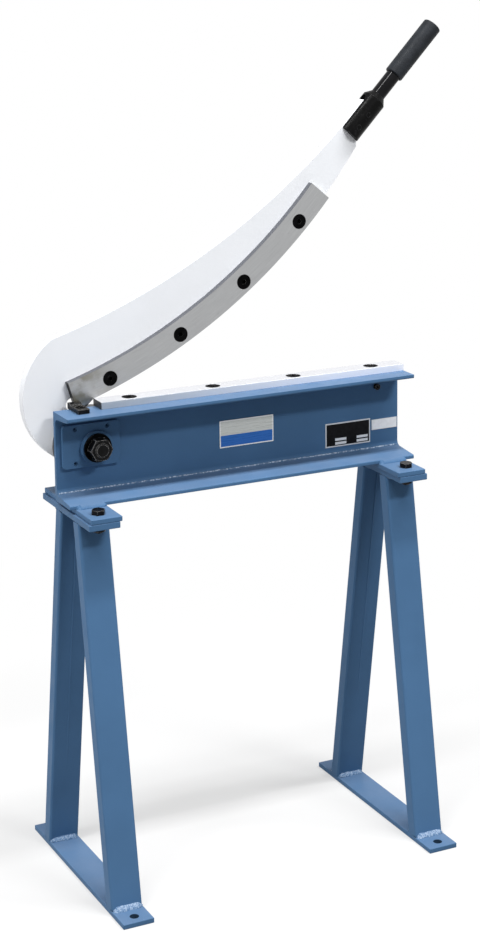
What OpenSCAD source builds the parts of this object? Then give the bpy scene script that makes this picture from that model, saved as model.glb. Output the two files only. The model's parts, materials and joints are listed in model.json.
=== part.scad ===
// Hand-lever plate shear on its two-frame floor stand.
// X runs along the beam, left to right seen from the front. Y runs from front to rear, Z is up.
// The origin is on the floor, in the middle of the four floor-bolt holes.
// The lever is drawn open, as it stands between two cuts.

/* [Stand] */
// Distance between the middles of the two stand frames
stand_pitch = 532; // [420:1:560]
// Height of the upper face of the stand plates
stand_h = 600; // [450:1:800]
// Width of the flat bars and of the leg tubes
bar_w = 50; // [44:1:60]
// Length of a base plate, front to rear
base_l = 376; // [340:1:480]
// Thickness of a base plate
base_t = 8; // [5:0.5:14]
// Diameter of a floor-bolt hole
floor_hole_d = 14; // [9:0.5:18]
// Distance of a floor-bolt hole from the end of its base plate
floor_hole_edge = 18; // [14:1:26]
// Depth of a leg tube, front to rear
leg_d = 25; // [18:1:30]
// Wall of a leg tube
leg_wall = 2.5; // [1.5:0.5:4]
// Radius of a leg tube's outer edges
leg_round = 4; // [3:0.5:6]
// Distance of a leg's outer face from the middle, at its foot
leg_foot_y = 144; // [110:1:150]
// Distance of a leg's outer face from the middle, at its top
leg_top_y = 48; // [40:1:60]
// Length of the stand plates and foot plates, front to rear
plate_l = 194; // [185:1:240]
// How far the stand plates and foot plates sit behind the middle
plate_y = 5; // [0:1:8]
// Thickness of a stand plate
stand_plate_t = 10; // [6:0.5:14]
// Thickness of a foot plate
foot_plate_t = 8; // [6:0.5:14]
// How far a foot plate sits nearer the middle than the stand plate under it
foot_plate_in = 3.5; // [0:0.5:6]
// Chamfer on the long edges of bars and blocks
bar_chamfer = 0.8; // [0.3:0.1:1.5]

/* [Foot bolts] */
// Diameter of a foot bolt
foot_bolt_d = 12; // [8:1:14]
// Width across flats of a foot bolt's head and nut
foot_hex = 19; // [16:1:22]
// Height of a foot bolt's head
foot_head_h = 7.5; // [5:0.5:10]
// Height of a foot nut
foot_nut_h = 8; // [6:0.5:12]
// Distance of a foot bolt from the end of its plate
foot_bolt_edge = 25; // [18:1:30]

/* [Beam] */
// Length of the beam to the left of the lower blade
beam_bay_l = 68; // [66:1:110]
// Height of the beam
beam_h = 140; // [138:1:170]
// Depth of the beam, over its flanges
beam_b = 60; // [56:1:70]
// Thickness of the web
web_t = 7; // [5:0.5:9]
// Thickness of a flange at the web
flange_root_t = 11; // [9:0.5:13]
// Thickness of a flange at its front edge
flange_toe_t = 6; // [5:0.5:8]
// Radius between web and flange
root_fillet_r = 9; // [5:0.5:10]
// Radius of the inner edge of a flange toe
toe_round_r = 2.5; // [1:0.5:3]
// How far the middle of the beam sits to the right of the stand's middle
beam_shift = 3; // [0:1:6]

/* [Lower blade] */
// Length of the lower blade
lower_blade_l = 532; // [500:1:534]
// Width of the lower blade
lower_blade_w = 32; // [28:1:36]
// Thickness of the lower blade
lower_blade_t = 11; // [9:0.5:12]
// How far the cutting edge of the lower blade stands behind the web
blade_overhang = 5; // [3:0.5:8]
// Distance between two screws of the lower blade
lower_screw_pitch = 142; // [110:1:150]
// Shank diameter of a lower blade screw
lower_screw_d = 10; // [8:1:11]
// Head diameter of a lower blade screw
lower_screw_head_d = 24; // [18:1:26]
// How deep a lower blade screw goes into the flange
lower_screw_grip = 8; // [5:0.5:8]
// Gap between the two blades
blade_gap = 0.3; // [0.2:0.05:0.6]

/* [Upper blade] */
// Radius of the curved cutting edge
edge_r = 934; // [925:1:936]
// Centre of the cutting edge's curve, to the left of the pivot
edge_centre_left = 295; // [285:1:305]
// Centre of the cutting edge's curve, above the pivot
edge_centre_up = 956; // [954:1:965]
// Where the blade's heel end lies on the curve, in degrees from straight down
heel_deg = 16.8; // [16:0.1:18]
// Where the blade's tip lies on the curve, in degrees from straight down
tip_deg = 49.6; // [45:0.1:51]
// Width of the upper blade
upper_blade_w = 40; // [36:1:46]
// Thickness of the upper blade
upper_blade_t = 11; // [9:0.5:14]
// Distance of the screws from the cutting edge
upper_screw_edge = 17; // [15:1:22]
// Distance between two screws of the upper blade
upper_screw_pitch = 132.4; // [110:0.1:140]
// How far the row of screws is moved from the blade's middle towards its tip
upper_screw_shift = 3; // [0:0.5:6]
// Shank diameter of an upper blade screw
upper_screw_d = 12; // [8:1:13]
// Head diameter of an upper blade screw
upper_screw_head_d = 24; // [18:1:26]
// Width across flats of an upper blade nut
upper_nut_hex = 19; // [18:1:21]
// Height of an upper blade nut
upper_nut_h = 10; // [6:0.5:12]
// Length of the heel nose that guides the upper blade behind the lower one
nose_l = 14; // [8:1:18]
// Angle that the heel nose takes up on the curve, in degrees
nose_deg = 1.9; // [1:0.1:2.5]

/* [Lever] */
// Pivot to the right of the beam's left end
pivot_in = 64; // [60:1:80]
// Pivot below the upper face of the beam
pivot_down = 61; // [58:1:64]
// Thickness of the lever plate
lever_t = 16; // [10:0.5:18]
// Radius of the round heel of the lever
heel_r = 111; // [100:1:120]
// Centre of the round heel, to the right of the pivot
heel_right = 5; // [0:1:10]
// Centre of the round heel, above the pivot
heel_up = 76; // [70:1:80]
// Radius of the lever's curved back
back_r = 1197; // [1190:1:1205]
// Centre of the back's curve, to the left of the pivot
back_centre_left = 390; // [385:1:395]
// Centre of the back's curve, above the pivot
back_centre_up = 1318; // [1312:1:1324]
// How far the lever's lower edge stands back from the cutting edge
edge_setback = 3; // [2:0.5:5]
// Right end of the lever's lower edge, to the right of the pivot
tip_right = 472; // [460:1:475]
// Radius of the round end of the throat notch
notch_r = 11; // [10.5:0.5:13]
// Centre of the throat notch, to the left of the pivot
notch_left = 25.5; // [22:0.5:30]
// Centre of the throat notch, above the pivot
notch_up = 63; // [60:0.5:66]
// Distance from the middle of the notch to the throat's lower side
throat_drop = 9.5; // [7:0.5:10]
// Fall of the throat's lower side, in degrees
throat_deg = 15; // [8:1:20]
// How far the lever closes from the drawn position, in degrees
close_deg = 34.5; // [33:0.1:36]

/* [Pivot] */
// Diameter of the pivot bolt
pivot_d = 22; // [18:1:26]
// Width across flats of the pivot bolt's head and nut
pivot_hex = 32; // [30:1:40]
// Height of the pivot bolt's head
pivot_head_h = 15; // [10:1:18]
// Height of the pivot nut
pivot_nut_h = 16; // [10:0.5:20]
// How far the pivot bolt stands out of its nut
pivot_end_out = 3; // [2:0.5:6]
// Outer diameter of the lever bush
bush_d = 32; // [30:1:38]
// Diameter of the front pivot washer
pivot_washer_d = 45; // [42:1:50]
// Thickness of the front pivot washer
pivot_washer_t = 3; // [2:0.5:5]
// Diameter of the rear pivot washer
rear_washer_d = 60; // [46:1:64]
// Thickness of the rear pivot washer
rear_washer_t = 4; // [3:0.5:6]
// Diameter of the pivot boss
boss_d = 53; // [50:1:56]
// Thickness of the pivot boss
boss_t = 5; // [3:0.5:8]
// Distance of the spacer disc's edge below the beam's upper face
spacer_below = 0.5; // [0.5:0.5:8]
// Running gap on each side of the lever
side_gap = 0.2; // [0.1:0.05:0.4]
// Radial running gap between pivot bolt and bush
bush_gap = 0.05; // [0.02:0.01:0.1]
// Width of the pivot plate
pivot_plate_w = 94; // [90:1:100]
// Height of the pivot plate
pivot_plate_h = 68; // [66:1:69]
// Thickness of the pivot plate
pivot_plate_t = 6; // [4:0.5:9]
// Corner radius of the pivot plate
pivot_plate_r = 5; // [4:0.5:10]
// Middle of the pivot plate, to the left of the pivot
pivot_plate_left = 8; // [6:1:10]
// Middle of the pivot plate, above the pivot
pivot_plate_up = 4.5; // [3:0.5:5]
// Distance between the pivot plate's screws, side to side
plate_screw_w = 53; // [52:1:60]
// Distance between the pivot plate's screws, up and down
plate_screw_h = 54; // [53:0.5:56]
// Diameter of a pivot plate set screw
plate_screw_d = 7; // [5:0.5:8]
// Width across corners of the socket in a set screw
plate_screw_socket = 4; // [3:0.5:4.5]
// How far a set screw lies below the face of the pivot plate
plate_screw_sink = 2; // [0.5:0.1:2.5]

/* [Stop] */
// Stop pin to the right of the pivot
stop_right = 495.5; // [480:0.5:500]
// Radius of the stop pin, where the lever lands on it
stop_r = 9.5; // [8:0.5:12]
// Gap between the stop pin's neck and the closed upper blade
stop_neck_gap = 0.8; // [0.4:0.1:1.5]
// Shank diameter of the stop screw
stop_screw_d = 6; // [5:1:9]
// Head diameter of the stop screw
stop_head_d = 10; // [9:0.5:11]
// Head height of the stop screw
stop_head_h = 6; // [4:0.5:8]
// How deep the stop screw goes into the stop pin
stop_screw_grip = 24; // [12:1:28]

/* [Blade guide] */
// Width of the guide block
guide_w = 19; // [17:0.5:24]
// Length of the guide block, front to rear
guide_l = 44.5; // [38:0.5:46]
// Height of the guide block
guide_h = 7.5; // [7:0.5:10]
// Height of the guide block's rear pad
guide_pad_h = 9.5; // [9:0.5:14]
// Length of the guide block's rear pad
guide_pad_l = 13; // [10:1:16]
// Radius on the pad's upper front edge
guide_pad_r = 4; // [2:0.5:6]
// Gap between the guide block and the lower blade
guide_side_gap = 23.5; // [18:0.5:26]
// Travel of the guide block when its screw is loose
guide_travel = 6; // [3:0.5:7]
// Shank diameter of the guide screw
guide_screw_d = 8; // [6:1:8]
// Head diameter of the guide screw
guide_head_d = 13; // [12:0.5:14]
// Head height of the guide screw
guide_head_h = 4; // [3:0.5:4]
// Screw to the front end of the guide block
guide_screw_edge = 12; // [10:0.5:13]

/* [Handle] */
// Foot of the handle socket, to the right of the pivot
socket_right = 460.4; // [455:0.1:470]
// Foot of the handle socket, above the pivot
socket_up = 448.4; // [442:0.1:452]
// Slope of the handle in the drawn position, in degrees
handle_deg = 46.5; // [44:0.1:50]
// Diameter of the handle socket
socket_d = 39.5; // [36:0.5:44]
// Length of the handle socket, without its shoulder
socket_l = 71; // [70:1:100]
// Length of the socket's sloping shoulder
shoulder_l = 10; // [4:1:14]
// Depth of the slot in the socket, to the top of its round end
slot_l = 67; // [66:0.5:68]
// Gap between the slot and the lever's tongue, on each side
slot_gap = 0.1; // [0.05:0.05:0.3]
// Length of the lever's tongue in the slot
tongue_l = 57; // [50:1:58]
// Upper edge of the tongue, from the handle's middle line
tongue_up = 18.5; // [17:0.5:19]
// Lower edge of the tongue, from the handle's middle line
tongue_down = 14; // [10:0.5:16]
// Diameter of a socket pin
socket_pin_d = 8; // [5:0.5:10]
// First socket pin to the socket's foot
socket_pin_in = 16; // [12:1:20]
// Distance between the two socket pins
socket_pin_pitch = 26; // [20:1:28]
// Diameter of the handle rod
rod_d = 24; // [20:0.5:26]
// How deep the handle rod sits in the socket
rod_seat = 12; // [8:1:13]
// Length of bare rod between socket and grip
rod_bare_l = 43; // [25:1:80]
// Diameter of the grip
grip_d = 31; // [29:0.5:38]
// Length of the grip
grip_l = 106; // [90:1:140]
// Thickness of the grip's closed end
grip_end_t = 8; // [6:0.5:12]
// Radius of the grip's edges
grip_round = 2; // [1:0.5:3]

/* [Plates] */
// Thickness of the plates on the web
tag_t = 0.8; // [0.5:0.1:1.5]
// Width of the two-tone plate
name_w = 95; // [80:1:100]
// Height of the two-tone plate
name_h = 44; // [36:1:46]
// Middle of the two-tone plate, to the right of the stand's middle
name_x = 26; // [10:1:40]
// Middle of the two-tone plate, above the beam's lower face
name_z = 69; // [60:1:75]
// Width of the data plate
data_w = 83; // [70:1:86]
// Height of the data plate
data_h = 40; // [34:1:44]
// Middle of the data plate, to the left of the beam's right end
data_in = 93.5; // [92:0.5:98]
// Middle of the data plate, above the beam's lower face
data_z = 42; // [42:1:50]
// Width of the small plate
small_w = 47; // [40:1:48]
// Height of the small plate
small_h = 17; // [12:1:20]
// Middle of the small plate, to the left of the beam's right end
small_in = 25.5; // [25:0.5:26]
// Middle of the small plate, above the beam's lower face
small_z = 50; // [46:1:54]

/* [Hidden] */

$fn = 64;
// Straight runs that make up a small fillet
arc_steps = 8;
// Facets of the large circles that shape the lever and the upper blade
large_fn = 720;
// Overlap of a cut past the face that it leaves through
cut = 1;
// Radial gap between a bolt and the plain hole that it passes through
bolt_gap = 0.5;
// Radial gap between a screw and the thread that holds it, and round pressed pieces
thread_gap = 0.03;
// How far a countersunk head lies below its face
head_sink = 0.4;
// Chamfer at the end of a bolt
bolt_chamfer = 1.5;
// Gap that keeps a sliding piece clear of what it slides on
slide_gap = 0.1;
// Gap between the lever and the stop pin when the lever is closed
stop_gap = 0.3;
// Gap between the upper blade's heel and the edge of the spacer disc
spacer_gap = 1;

paint = [0.20, 0.36, 0.56];
black = [0.08, 0.08, 0.09];
steel = [0.62, 0.63, 0.64];
white = [0.88, 0.89, 0.92];

// Heights
leg_top_z = stand_h - stand_plate_t;
beam_z = stand_h + foot_plate_t;
beam_top = beam_z + beam_h;
edge_z = beam_top + lower_blade_t;

// Places along the beam
beam_l = lower_blade_l + beam_bay_l;
beam_left = beam_shift - beam_l / 2;
beam_right = beam_shift + beam_l / 2;
pivot_x = beam_left + pivot_in;
pivot_z = beam_top - pivot_down;
lower_blade_x = beam_right - lower_blade_l;
guide_x = lower_blade_x - guide_side_gap - guide_w / 2;

// Places from front to rear
web_rear = beam_b / 2;
web_front = web_rear - web_t;
flange_front = -beam_b / 2;
shear_y = web_rear + blade_overhang;
lower_blade_y = shear_y - lower_blade_w / 2;
upper_blade_y = shear_y + blade_gap;
lever_y = upper_blade_y + upper_blade_t;
lever_rear = lever_y + lever_t;
lever_mid = lever_y + lever_t / 2;
plate_front = web_front - pivot_plate_t;
boss_front = plate_front - boss_t;
washer_front = boss_front - pivot_washer_t;
nut_front = washer_front - pivot_nut_h;
pivot_end = nut_front - pivot_end_out;
spacer_r = pivot_down - spacer_below;
rear_washer_y = lever_rear + side_gap;
pivot_head_y = rear_washer_y + rear_washer_t;
guide_rear = shear_y;
guide_front = guide_rear - guide_l;
guide_screw_y = guide_front + guide_screw_edge;
guide_floor_t = guide_h - guide_head_h;

// Stand
floor_hole_y = base_l / 2 - floor_hole_edge;
leg_tilt = atan((leg_foot_y - leg_top_y) / (leg_top_z - base_t));
leg_axis_y = (leg_foot_y + leg_top_y - leg_d / cos(leg_tilt)) / 2;
foot_bolt_y = plate_l / 2 - foot_bolt_edge;

// Upper blade and lever, in the lever's own plane with the pivot at zero
edge_centre = [-edge_centre_left, edge_centre_up];
back_centre = [-back_centre_left, back_centre_up];
heel_centre = [heel_right, heel_up];
notch_centre = [-notch_left, notch_up];
lower_edge_r = edge_r - edge_setback;
screw_line_r = edge_r - upper_screw_edge;
screw_step_deg = 2 * asin(upper_screw_pitch / 2 / screw_line_r);
screw_mid_deg = (heel_deg + tip_deg) / 2 + asin(upper_screw_shift / screw_line_r);
socket_foot = [socket_right, socket_up];
socket_end = socket_l + shoulder_l;
rod_start = socket_end - rod_seat;
grip_start = socket_end + rod_bare_l;
grip_end = grip_start + grip_l;
upper_screws = [for (i = [-1.5 : 1.5]) on_curve(screw_line_r, screw_mid_deg + i * screw_step_deg)];
lower_screws = [for (i = [-1.5 : 1.5]) lower_blade_x + lower_blade_l / 2 + i * lower_screw_pitch];
// The boss takes the place of a screw at the lower right
plate_screws = [for (side = [-1, 1], level = [-1, 1]) if (side - level < 2)
    [pivot_x - pivot_plate_left + side * plate_screw_w / 2,
     pivot_z + pivot_plate_up + level * plate_screw_h / 2]];

// The stop pin touches the lever's lower edge when the lever is closed
closed_centre = [pivot_x, pivot_z] + turned(edge_centre, -close_deg);
stop_x = pivot_x + stop_right;
stop_reach = lower_edge_r + stop_r + stop_gap;
stop_neck_r = stop_reach - edge_r - stop_neck_gap;
stop_z = closed_centre[1] - sqrt(stop_reach * stop_reach - pow(stop_x - closed_centre[0], 2));

// A point of the lever's plane, turned about the pivot
function turned(p, deg) = [p[0] * cos(deg) - p[1] * sin(deg), p[0] * sin(deg) + p[1] * cos(deg)];
// A point on a circle about the cutting edge's centre, by its angle from straight down
function on_curve(r, deg) = edge_centre + r * [sin(deg), -cos(deg)];
// Points on a circular arc
function arc(centre, r, from, to) =
    [for (i = [0 : arc_steps]) let (a = from + (to - from) * i / arc_steps) centre + r * [cos(a), sin(a)]];
// The middle of the left (-1) or right (1) stand frame
function frame_x(side) = side * stand_pitch / 2;

// Shared shapes

// Box with chamfered edges, centred on its place
module bar(size, chamfer) {
    intersection() {
        linear_extrude(size[2], center = true)
            chamfered_rectangle(size[0], size[1], chamfer);
        rotate([90, 0, 0]) linear_extrude(size[1], center = true)
            chamfered_rectangle(size[0], size[2], chamfer);
        rotate([90, 0, 90]) linear_extrude(size[0], center = true)
            chamfered_rectangle(size[1], size[2], chamfer);
    }
}

module chamfered_rectangle(w, h, c) {
    x = w / 2;
    y = h / 2;
    polygon([
        [x, y - c], [x - c, y], [c - x, y], [-x, y - c],
        [-x, c - y], [c - x, -y], [x - c, -y], [x, c - y]
    ]);
}

module rounded_rectangle(w, h, r) {
    square([w - 2 * r, h], center = true);
    square([w, h - 2 * r], center = true);
    for (sx = [-1, 1], sy = [-1, 1])
        translate([sx * (w / 2 - r), sy * (h / 2 - r)]) circle(r);
}

// Extrudes an outline drawn in X and Z from front to rear
module across(y, t) {
    translate([0, y + t, 0]) rotate([90, 0, 0]) linear_extrude(t) children();
}

// Turns a piece that is drawn upwards so that it points to the rear
module rearward(x, y, z) {
    translate([x, y, z]) rotate([-90, 0, 0]) children();
}

// Turns a piece that is drawn upwards so that it points to the front
module forward(x, y, z) {
    translate([x, y, z]) rotate([90, 0, 0]) children();
}

// Hexagon with its upper corners rounded off, drawn upwards from zero
module hex_block(across_flats, h) {
    corner_r = across_flats / 2 / cos(30);
    slope = (corner_r - across_flats / 2) * tan(30);
    intersection() {
        cylinder(r = corner_r, h = h, $fn = 6);
        union() {
            cylinder(r = corner_r + cut, h = h - slope);
            translate([0, 0, h - slope]) cylinder(r1 = corner_r, r2 = across_flats / 2, h = slope);
        }
    }
}

module hex_nut(across_flats, h, d) {
    difference() {
        hex_block(across_flats, h);
        translate([0, 0, -cut]) cylinder(r = d / 2 + thread_gap, h = h + 2 * cut);
    }
}

// Hexagon bolt with its seat at zero: the head goes up, the shank goes down
module hex_bolt(d, across_flats, head_h, shank_l) {
    hex_block(across_flats, head_h);
    translate([0, 0, -shank_l + bolt_chamfer]) cylinder(d = d, h = shank_l - bolt_chamfer);
    translate([0, 0, -shank_l]) cylinder(d1 = d - 2 * bolt_chamfer, d2 = d, h = bolt_chamfer);
}

module washer(outer_d, inner_d, t) {
    difference() {
        cylinder(d = outer_d, h = t);
        translate([0, 0, -cut]) cylinder(d = inner_d, h = t + 2 * cut);
    }
}

// Socket screw with a cylindrical head, seat at zero, head up
module socket_screw(d, head_d, head_h, shank_l) {
    difference() {
        cylinder(d = head_d, h = head_h);
        translate([0, 0, head_h / 2]) cylinder(d = d * 0.9, h = head_h, $fn = 6);
    }
    translate([0, 0, -shank_l]) cylinder(d = d, h = shank_l);
}

// Countersunk socket screw, its flat head at zero and its shank below
module countersunk_screw(d, head_d, l) {
    cone_h = (head_d - d) / 2;
    difference() {
        union() {
            translate([0, 0, -cone_h]) cylinder(d1 = d, d2 = head_d, h = cone_h);
            translate([0, 0, -l]) cylinder(d = d, h = l - cone_h);
        }
        translate([0, 0, -cone_h * 0.7]) cylinder(d = d * 0.7, h = cone_h, $fn = 6);
    }
}

// Hole for a countersunk screw, its face at zero
module countersunk_hole(d, head_d, depth) {
    cone_h = (head_d - d) / 2;
    wide_r = head_d / 2 + thread_gap;
    translate([0, 0, -depth]) cylinder(r = d / 2 + thread_gap, h = depth);
    translate([0, 0, -head_sink - cone_h]) cylinder(r1 = d / 2 + thread_gap, r2 = wide_r, h = cone_h);
    translate([0, 0, -head_sink]) cylinder(r = wide_r, h = head_sink + cut);
}

// Stand

module base_plate(side) {
    color(paint) translate([frame_x(side), 0, base_t / 2]) difference() {
        bar([bar_w, base_l, base_t], bar_chamfer);
        for (end = [-1, 1])
            translate([0, end * floor_hole_y, 0])
                cylinder(d = floor_hole_d, h = base_t + 2 * cut, center = true);
    }
}

module leg(side, end) {
    inner_round = max(leg_round - leg_wall, leg_wall / 5);
    color(paint) intersection() {
        translate([frame_x(side) - bar_w, -base_l, base_t]) cube([2 * bar_w, 2 * base_l, leg_top_z - base_t]);
        translate([frame_x(side), end * leg_axis_y, (base_t + leg_top_z) / 2]) rotate([end * leg_tilt, 0, 0])
            linear_extrude(leg_top_z, center = true) difference() {
                rounded_rectangle(bar_w, leg_d, leg_round);
                rounded_rectangle(bar_w - 2 * leg_wall, leg_d - 2 * leg_wall, inner_round);
            }
    }
}

// Flat bar with two bolt holes: t is its thickness, z its lower face and inset its shift from the holes
module bolted_plate(side, t, z, inset) {
    color(paint) translate([frame_x(side), plate_y, z + t / 2]) difference() {
        translate([-side * inset, 0, 0]) bar([bar_w, plate_l, t], bar_chamfer);
        for (end = [-1, 1])
            translate([0, end * foot_bolt_y, 0])
                cylinder(r = foot_bolt_d / 2 + bolt_gap, h = t + 2 * cut, center = true);
    }
}

module at_foot_bolts(z) {
    for (side = [-1, 1], end = [-1, 1])
        translate([frame_x(side), plate_y + end * foot_bolt_y, z]) children();
}

module foot_bolts() {
    shank_l = foot_plate_t + stand_plate_t + foot_nut_h + 2 * bolt_chamfer;
    color(black) at_foot_bolts(beam_z) hex_bolt(foot_bolt_d, foot_hex, foot_head_h, shank_l);
}

module foot_nuts() {
    color(black) at_foot_bolts(leg_top_z) mirror([0, 0, 1]) hex_nut(foot_hex, foot_nut_h, foot_bolt_d);
}

// Beam

// Corners of one flange with its rounded toe and root, from the web's rear face to its front face.
// The first number runs forwards from the web's front face, the second from the flange's outer face.
function flange_points() = let (
    reach = beam_b - web_t,
    fall = (flange_root_t - flange_toe_t) / reach,
    slant = sqrt(1 + fall * fall),
    toe = [reach - toe_round_r, flange_toe_t + fall * toe_round_r - slant * toe_round_r],
    root = [root_fillet_r, flange_root_t - fall * root_fillet_r + slant * root_fillet_r]
) concat(
    [[-web_t, 0], [reach, 0]],
    arc(toe, toe_round_r, 0, 90 - atan(fall)),
    arc(root, root_fillet_r, 270 - atan(fall), 180)
);

module beam_outline() {
    lower = [for (p = flange_points()) [-p[0], p[1]]];
    count = len(lower);
    upper = [for (i = [1 : count]) [lower[count - i][0], beam_h - lower[count - i][1]]];
    polygon(concat(lower, upper));
}

module web_hole(x, z, r) {
    rearward(x, web_front - cut, z) cylinder(r = r, h = web_t + 2 * cut);
}

module beam() {
    color(paint) difference() {
        translate([beam_left, web_front, beam_z]) rotate([90, 0, 90]) linear_extrude(beam_l) beam_outline();
        for (x = lower_screws)
            translate([x, lower_blade_y, beam_top - lower_screw_grip - cut])
                cylinder(r = lower_screw_d / 2 + thread_gap, h = lower_screw_grip + 2 * cut);
        translate([guide_x, guide_screw_y, beam_top - flange_root_t - cut])
            cylinder(r = guide_screw_d / 2 + thread_gap, h = flange_root_t + 2 * cut);
        web_hole(pivot_x, pivot_z, pivot_d / 2 + bolt_gap);
        web_hole(stop_x, stop_z, stop_screw_d / 2 + bolt_gap);
        for (p = plate_screws)
            web_hole(p[0], p[1], plate_screw_d / 2 + thread_gap);
    }
}

// Plain plate on the front of the web
module web_tag(x, z, w, h, tint) {
    color(tint) across(web_front - tag_t, tag_t) translate([x, beam_z + z]) square([w, h], center = true);
}

module name_plate() {
    web_tag(name_x, name_z, name_w, name_h, steel);
}

module data_plate() {
    web_tag(beam_right - data_in, data_z, data_w, data_h, black);
}

module small_plate() {
    web_tag(beam_right - small_in, small_z, small_w, small_h, white);
}

// Lower blade and its guide

module lower_blade() {
    color(steel) difference() {
        translate([lower_blade_x + lower_blade_l / 2, lower_blade_y, beam_top + lower_blade_t / 2])
            bar([lower_blade_l, lower_blade_w, lower_blade_t], bar_chamfer / 4);
        for (x = lower_screws)
            translate([x, lower_blade_y, edge_z])
                countersunk_hole(lower_screw_d, lower_screw_head_d, lower_blade_t + cut);
    }
}

module lower_blade_screws() {
    screw_l = lower_blade_t - head_sink + lower_screw_grip;
    color(black) for (x = lower_screws)
        translate([x, lower_blade_y, edge_z - head_sink])
            countersunk_screw(lower_screw_d, lower_screw_head_d, screw_l);
}

// Slot along Y that lets the guide block move forwards past its screw
module guide_slot(r, h) {
    cylinder(r = r, h = h);
    translate([-r, 0, 0]) cube([2 * r, guide_travel, h]);
    translate([0, guide_travel, 0]) cylinder(r = r, h = h);
}

module guide_block() {
    pad_front = guide_rear - guide_pad_l;
    z = beam_top + slide_gap;
    color(black) difference() {
        union() {
            translate([guide_x, guide_rear - guide_l / 2, z + guide_h / 2])
                bar([guide_w, guide_l, guide_h], bar_chamfer);
            translate([guide_x - guide_w / 2, 0, z]) rotate([90, 0, 90]) linear_extrude(guide_w) {
                translate([pad_front + guide_pad_r, 0]) square([guide_pad_l - guide_pad_r, guide_pad_h]);
                translate([pad_front, 0]) square([guide_pad_l, guide_pad_h - guide_pad_r]);
                translate([pad_front + guide_pad_r, guide_pad_h - guide_pad_r]) circle(guide_pad_r);
            }
        }
        translate([guide_x, guide_screw_y, z - cut])
            guide_slot(guide_screw_d / 2 + bolt_gap, guide_h + 2 * cut);
        translate([guide_x, guide_screw_y, z + guide_floor_t])
            guide_slot(guide_head_d / 2 + bolt_gap, guide_pad_h);
    }
}

module guide_screw() {
    seat = beam_top + 2 * slide_gap + guide_floor_t;
    color(steel) translate([guide_x, guide_screw_y, seat])
        socket_screw(guide_screw_d, guide_head_d, guide_head_h, seat - beam_top + flange_toe_t);
}

// Stop

module stop_pin() {
    neck_l = lever_y - web_rear;
    hole_l = stop_screw_grip + cut;
    color(steel) difference() {
        union() {
            rearward(stop_x, web_rear, stop_z) cylinder(r = stop_neck_r, h = neck_l);
            rearward(stop_x, web_rear + neck_l, stop_z) cylinder(r = stop_r, h = lever_t + side_gap);
        }
        rearward(stop_x, web_rear - cut, stop_z)
            cylinder(r = stop_screw_d / 2 + thread_gap, h = hole_l + cut);
    }
}

module stop_screw() {
    color(black) forward(stop_x, web_front, stop_z)
        socket_screw(stop_screw_d, stop_head_d, stop_head_h, web_t + stop_screw_grip);
}

// Pivot

module pivot_plate() {
    color(paint) difference() {
        across(plate_front, pivot_plate_t)
            translate([pivot_x - pivot_plate_left, pivot_z + pivot_plate_up])
                rounded_rectangle(pivot_plate_w, pivot_plate_h, pivot_plate_r);
        rearward(pivot_x, plate_front - cut, pivot_z)
            cylinder(r = pivot_d / 2 + bolt_gap, h = pivot_plate_t + 2 * cut);
        for (p = plate_screws)
            rearward(p[0], plate_front - cut, p[1])
                cylinder(r = plate_screw_d / 2 + thread_gap, h = pivot_plate_t + 2 * cut);
    }
}

module pivot_plate_screws() {
    screw_l = pivot_plate_t - plate_screw_sink + web_t;
    color(paint) for (p = plate_screws) forward(p[0], web_rear, p[1]) difference() {
        cylinder(d = plate_screw_d, h = screw_l);
        translate([0, 0, screw_l / 2]) cylinder(d = plate_screw_socket, h = screw_l, $fn = 6);
    }
}

module pivot_boss() {
    color(paint) rearward(pivot_x, boss_front, pivot_z) washer(boss_d, pivot_d + 2 * bolt_gap, boss_t);
}

module pivot_spacer() {
    color(steel) rearward(pivot_x, web_rear, pivot_z)
        washer(2 * spacer_r, pivot_d + 2 * bolt_gap, lever_y - side_gap - web_rear);
}

module pivot_washer() {
    color(black) rearward(pivot_x, washer_front, pivot_z)
        washer(pivot_washer_d, pivot_d + 2 * bolt_gap, pivot_washer_t);
}

module pivot_nut() {
    color(black) forward(pivot_x, washer_front, pivot_z) hex_nut(pivot_hex, pivot_nut_h, pivot_d);
}

module pivot_rear_washer() {
    color(steel) rearward(pivot_x, rear_washer_y, pivot_z)
        washer(rear_washer_d, pivot_d + 2 * bolt_gap, rear_washer_t);
}

module pivot_bolt() {
    color(black) rearward(pivot_x, pivot_head_y, pivot_z)
        hex_bolt(pivot_d, pivot_hex, pivot_head_h, pivot_head_y - pivot_end);
}

// Lever and upper blade

// Puts a piece of the lever's plane at the pivot
module at_pivot(y, t) {
    across(y, t) translate([pivot_x, pivot_z]) children();
}

module arm_outline() {
    left = heel_centre[0] - heel_r / 2;
    lean = tan(90 - handle_deg);
    foot_z = function(x) socket_foot[1] - (x - socket_foot[0]) * lean;
    top_x = socket_foot[0] - 2 * socket_d;
    intersection() {
        translate(edge_centre) circle(lower_edge_r, $fn = large_fn);
        polygon([
            [left, 0], [tip_right, 0], [tip_right, foot_z(tip_right)],
            [top_x, foot_z(top_x)], [left, foot_z(top_x)]
        ]);
    }
}

// Open throat between the pivot and the arm; the arm covers its upper side
module throat_outline() {
    reach = 2 * heel_r;
    start = notch_centre - throat_drop * [sin(throat_deg), cos(throat_deg)];
    far = start + reach * [cos(throat_deg), -sin(throat_deg)];
    polygon([start, far, notch_centre + (far[0] - notch_centre[0]) * [1, 1], notch_centre]);
}

// Tongue in the socket's slot
module tongue_outline() {
    root_l = 1.25 * socket_d;
    translate(socket_foot) rotate(handle_deg) translate([-root_l, -tongue_down])
        square([root_l + tongue_l, tongue_up + tongue_down]);
}

module lever_outline() {
    difference() {
        union() {
            difference() {
                translate(heel_centre) circle(heel_r, $fn = large_fn);
                throat_outline();
            }
            arm_outline();
        }
        translate(back_centre) circle(back_r, $fn = large_fn);
        translate(notch_centre) circle(notch_r);
    }
    tongue_outline();
}

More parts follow.
